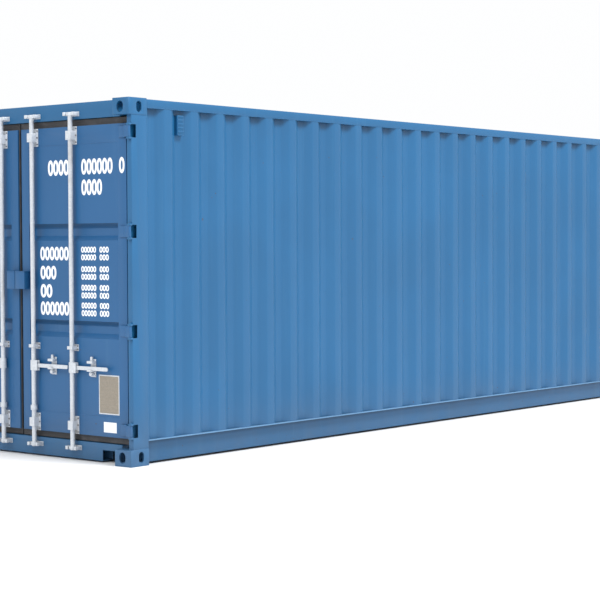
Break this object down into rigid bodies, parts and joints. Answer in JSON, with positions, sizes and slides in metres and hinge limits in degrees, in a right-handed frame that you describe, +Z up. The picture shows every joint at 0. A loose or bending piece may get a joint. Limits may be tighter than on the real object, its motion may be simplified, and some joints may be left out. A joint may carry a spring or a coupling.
{
  "type": "40 ft dry cargo shipping container",
  "caption": "Corrugated steel cargo container with corner castings, two hinged end doors, locking bars with swing handles and a plywood floor.",
  "frame": {"origin": "bottom centre of the bounding box, on the plane of the bottom castings' undersides", "axes": "+Z up, +Y along the length from the door end to the blank end, +X towards the right side wall seen from the doors"},
  "size_m": [2.438, 12.192, 2.591],
  "materials": {
    "container_paint": "semi-gloss blue paint",
    "door_paint": "semi-gloss blue paint",
    "galvanised_steel": "hot-dip galvanised",
    "door_rubber": "matt black",
    "floor_plywood": "worn varnish",
    "vent_plastic": "painted over",
    "bare_plate": "dull",
    "white_label": "matt film"
  },
  "bodies": {
    "container": {"top_corner_castings": "container_paint", "bottom_corner_castings": "container_paint", "rear_corner_posts": "container_paint", "front_corner_posts": "container_paint", "top_side_rails": "container_paint", "bottom_side_rails": "container_paint", "rear_header": "container_paint", "rear_sill": "container_paint", "front_header": "container_paint", "front_sill": "container_paint", "right_side_wall": "container_paint", "left_side_wall": "container_paint", "front_wall": "container_paint", "roof": "container_paint", "floor": "floor_plywood", "crossmembers": "container_paint", "gooseneck_tunnel": "container_paint", "hinge_ears": "container_paint", "cam_keepers": "galvanised_steel", "ventilators": "vent_plastic"},
    "right_door": {"right_door_frame": "door_paint", "right_door_panel": "door_paint", "right_door_gasket": "door_rubber", "right_door_hinges": "door_paint", "right_bar_brackets": "galvanised_steel", "right_handle_retainers": "galvanised_steel", "right_lock_box": "door_paint", "data_plate": "bare_plate", "notice_label": "white_label"},
    "right_inner_bar": {"right_inner_bar": "galvanised_steel"},
    "right_inner_handle": {"right_inner_handle": "galvanised_steel"},
    "right_outer_bar": {"right_outer_bar": "galvanised_steel"},
    "right_outer_handle": {"right_outer_handle": "galvanised_steel"},
    "left_door": {"left_door_frame": "door_paint", "left_door_panel": "door_paint", "left_door_gasket": "door_rubber", "left_door_hinges": "door_paint", "left_bar_brackets": "galvanised_steel", "left_handle_retainers": "galvanised_steel", "left_lock_box": "door_paint"},
    "left_inner_bar": {"left_inner_bar": "galvanised_steel"},
    "left_inner_handle": {"left_inner_handle": "galvanised_steel"},
    "left_outer_bar": {"left_outer_bar": "galvanised_steel"},
    "left_outer_handle": {"left_outer_handle": "galvanised_steel"}
  },
  "joints": [
    {"name": "right_door_hinge", "type": "hinge", "parent": "container", "child": "right_door", "pos_m": [1.203, -6.08, 1.3], "axis": [0, 0, 1], "range_deg": [0, 265]},
    {"name": "right_inner_bar_turn", "type": "hinge", "parent": "right_door", "child": "right_inner_bar", "pos_m": [0.171, -6.062, 0.675], "axis": [0, 0, 1], "range_deg": [-110, 0]},
    {"name": "right_inner_handle_lift", "type": "hinge", "parent": "right_inner_bar", "child": "right_inner_handle", "pos_m": [0.207, -6.062, 0.675], "axis": [0, 1, 0], "range_deg": [-6, 0]},
    {"name": "right_outer_bar_turn", "type": "hinge", "parent": "right_door", "child": "right_outer_bar", "pos_m": [0.586, -6.062, 0.675], "axis": [0, 0, 1], "range_deg": [-110, 0]},
    {"name": "right_outer_handle_lift", "type": "hinge", "parent": "right_outer_bar", "child": "right_outer_handle", "pos_m": [0.622, -6.062, 0.675], "axis": [0, 1, 0], "range_deg": [-6, 0]},
    {"name": "left_door_hinge", "type": "hinge", "parent": "container", "child": "left_door", "pos_m": [-1.203, -6.08, 1.3], "axis": [0, 0, -1], "range_deg": [0, 265]},
    {"name": "left_inner_bar_turn", "type": "hinge", "parent": "left_door", "child": "left_inner_bar", "pos_m": [-0.171, -6.062, 0.675], "axis": [0, 0, -1], "range_deg": [-110, 0]},
    {"name": "left_inner_handle_lift", "type": "hinge", "parent": "left_inner_bar", "child": "left_inner_handle", "pos_m": [-0.207, -6.062, 0.675], "axis": [0, -1, 0], "range_deg": [-6, 0]},
    {"name": "left_outer_bar_turn", "type": "hinge", "parent": "left_door", "child": "left_outer_bar", "pos_m": [-0.586, -6.062, 0.675], "axis": [0, 0, -1], "range_deg": [-110, 0]},
    {"name": "left_outer_handle_lift", "type": "hinge", "parent": "left_outer_bar", "child": "left_outer_handle", "pos_m": [-0.622, -6.062, 0.675], "axis": [0, -1, 0], "range_deg": [-6, 0]}
  ]
}
